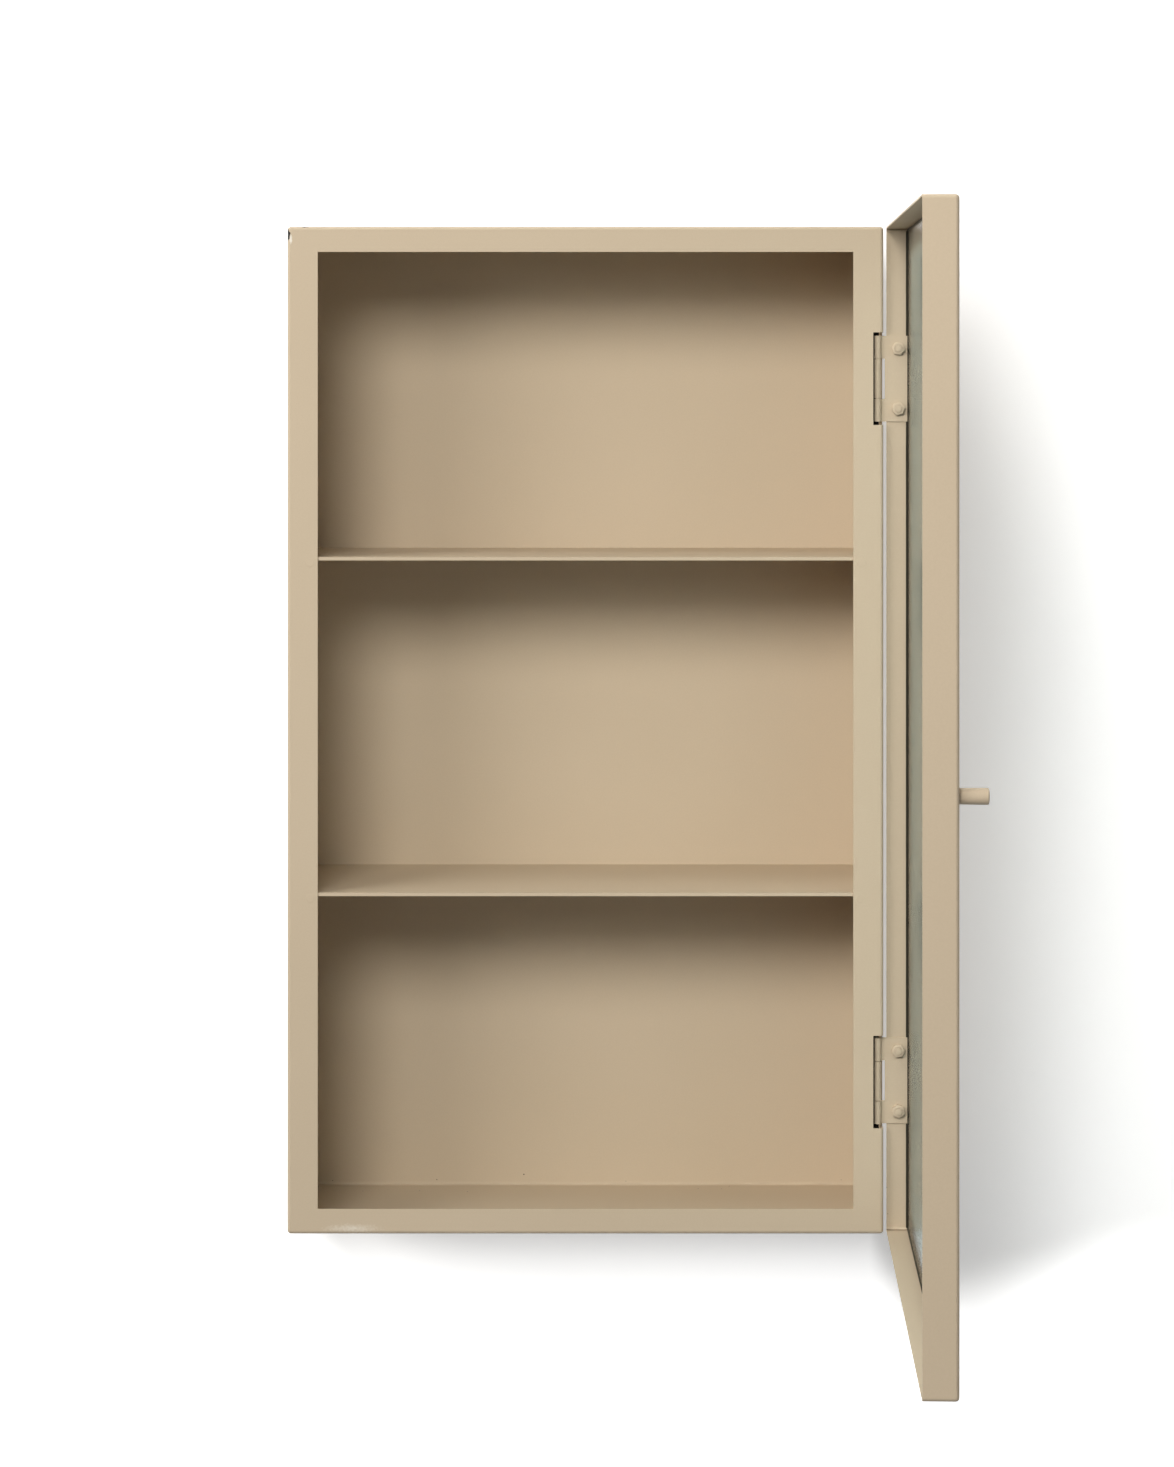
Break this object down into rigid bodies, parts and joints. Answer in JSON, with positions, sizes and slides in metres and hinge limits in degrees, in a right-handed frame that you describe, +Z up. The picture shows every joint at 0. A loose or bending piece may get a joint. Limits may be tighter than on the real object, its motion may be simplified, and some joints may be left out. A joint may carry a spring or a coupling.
{
  "type": "wall cabinet",
  "caption": "Slim wall-hung cabinet of folded, powder-coated steel with fixed shelves and a side-hinged framed door of reeded glass with a small round knob.",
  "frame": {"origin": "on the wall plane, midway between the entry holes of the two keyhole hangers", "axes": "+X to the right as seen from the room, +Y into the wall, +Z up"},
  "size_m": [0.3791, 0.4797, 0.6],
  "materials": {
    "beige_powder_coat": "satin",
    "zinc_plated_steel": "satin",
    "nickel_plated_magnet": "satin",
    "dark_silicone": "satin",
    "reeded_glass": "gloss"
  },
  "bodies": {
    "case": {"left_side_panel": "beige_powder_coat", "right_side_panel": "beige_powder_coat", "top_panel": "beige_powder_coat", "bottom_panel": "beige_powder_coat", "back_panel": "beige_powder_coat", "back_seams": "beige_powder_coat", "upper_shelf": "beige_powder_coat", "lower_shelf": "beige_powder_coat", "shelf_plug_welds": "beige_powder_coat", "upper_hinge_case_leaf": "beige_powder_coat", "lower_hinge_case_leaf": "beige_powder_coat", "upper_hinge_pin": "beige_powder_coat", "lower_hinge_pin": "beige_powder_coat", "case_hinge_studs": "beige_powder_coat", "case_hinge_nuts": "beige_powder_coat", "left_wall_hanger": "zinc_plated_steel", "right_wall_hanger": "zinc_plated_steel", "catch_magnet": "nickel_plated_magnet"},
    "door": {"door_handle_stile": "beige_powder_coat", "door_hinge_stile": "beige_powder_coat", "door_top_rail": "beige_powder_coat", "door_bottom_rail": "beige_powder_coat", "glass_bedding": "dark_silicone", "glass_pane": "reeded_glass", "knob": "beige_powder_coat", "upper_hinge_door_leaf": "beige_powder_coat", "lower_hinge_door_leaf": "beige_powder_coat", "door_hinge_studs": "beige_powder_coat", "door_hinge_nuts": "beige_powder_coat"}
  },
  "joints": [
    {"name": "door_hinge", "type": "hinge", "parent": "case", "child": "door", "pos_m": [0.1744, -0.1273, -0.255], "axis": [0, 0, 1], "range_deg": [-88, 27]}
  ]
}
